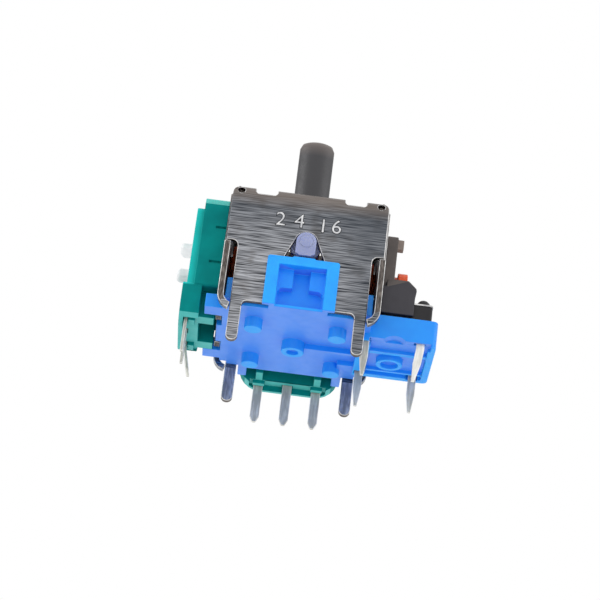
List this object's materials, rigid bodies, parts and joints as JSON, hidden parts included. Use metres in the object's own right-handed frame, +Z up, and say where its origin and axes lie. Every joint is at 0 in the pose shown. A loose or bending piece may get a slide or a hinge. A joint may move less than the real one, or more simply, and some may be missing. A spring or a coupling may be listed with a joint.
{
  "type": "controller analog stick",
  "caption": "Two-axis thumb stick for a circuit board: folded metal can, rotary sensors on two sides, spring return and a push switch under a slider.",
  "frame": {"origin": "on the upright stick's axis, in the plane where the base's bosses rest on the circuit board", "axes": "+X to the right along the front flap, towards the push switch; +Y to the back, towards the back sensor; +Z up the stick"},
  "size_m": [0.0219, 0.0174, 0.0221],
  "materials": {
    "nickel_plated_steel": "satin nickel plating on stamped sheet",
    "blue_moulded_nylon": "satin moulded",
    "green_moulded_nylon": "satin moulded",
    "dark_grey_acetal": "matt moulded",
    "orange_moulded_acetal": "satin moulded",
    "pale_moulded_acetal": "satin moulded",
    "white_moulded_acetal": "satin moulded",
    "black_moulded_nylon": "matt moulded",
    "dark_resin_board": "matt laminate",
    "tinned_bronze": "bright tin plating",
    "spring_bronze": "rolled strip",
    "spring_steel": "drawn wire"
  },
  "bodies": {
    "module": {"frame": "nickel_plated_steel", "base": "blue_moulded_nylon", "left_pot_housing": "green_moulded_nylon", "back_pot_housing": "green_moulded_nylon", "left_pot_element": "dark_resin_board", "back_pot_element": "dark_resin_board", "left_terminal_1": "tinned_bronze", "left_terminal_2": "tinned_bronze", "left_terminal_3": "tinned_bronze", "back_terminal_1": "tinned_bronze", "back_terminal_2": "tinned_bronze", "back_terminal_3": "tinned_bronze", "switch_body": "black_moulded_nylon", "switch_cover": "nickel_plated_steel", "switch_dome": "spring_bronze", "switch_terminal_1": "tinned_bronze", "switch_terminal_2": "tinned_bronze", "switch_terminal_3": "tinned_bronze", "switch_terminal_4": "tinned_bronze", "return_spring": "spring_steel"},
    "left_shaft": {"left_rotor": "white_moulded_acetal", "left_wiper": "spring_bronze"},
    "lower_yoke": {"tilt_arm": "orange_moulded_acetal", "stick_pin": "spring_steel"},
    "thumb_stick": {"stick": "dark_grey_acetal"},
    "upper_yoke": {"cross_arm": "pale_moulded_acetal", "back_rotor": "white_moulded_acetal", "back_wiper": "spring_bronze"},
    "slider": {"push_slider": "dark_grey_acetal"},
    "plunger": {"switch_plunger": "black_moulded_nylon"},
    "plate": {"spring_plate": "spring_steel"}
  },
  "joints": [
    {"name": "tilt_y", "type": "hinge", "parent": "module", "child": "left_shaft", "pos_m": [-0.00758, 0, 0.0069], "axis": [1, 0, 0], "range_deg": [-20, 20], "stiffness_Nm_per_rad": 0.012},
    {"name": "push", "type": "hinge", "parent": "left_shaft", "child": "lower_yoke", "pos_m": [-0.00758, 0, 0.0069], "axis": [0, 1, 0], "range_deg": [0, 1], "stiffness_Nm_per_rad": 0.5, "springref_deg": -0.57},
    {"name": "tilt_x", "type": "hinge", "parent": "lower_yoke", "child": "thumb_stick", "pos_m": [0, 0, 0.0069], "axis": [0, 1, 0], "range_deg": [-20, 20], "stiffness_Nm_per_rad": 0.012},
    {"name": "upper_yoke_turn", "type": "hinge", "parent": "module", "child": "upper_yoke", "pos_m": [0, 0, 0.0069], "axis": [0, 1, 0], "range_deg": [-20, 20]},
    {"name": "slider_drop", "type": "slide", "parent": "module", "child": "slider", "axis": [0, 0, 1], "range_m": [-0.0003, 0]},
    {"name": "plunger_drop", "type": "slide", "parent": "module", "child": "plunger", "axis": [0, 0, 1], "range_m": [-0.0003, 0]},
    {"name": "plate_drop", "type": "slide", "parent": "module", "child": "plate", "axis": [0, 0, 1], "range_m": [-0.0002, 0], "deforming": ["return_spring"]}
  ],
  "couplings": [
    {"joint": "upper_yoke_turn", "follows": "tilt_x", "ratio": 1},
    {"joint": "slider_drop", "follows": "push", "m_per_rad": -0.016},
    {"joint": "plunger_drop", "follows": "push", "m_per_rad": -0.0156},
    {"joint": "plate_drop", "follows": "push", "m_per_rad": -0.0076}
  ]
}
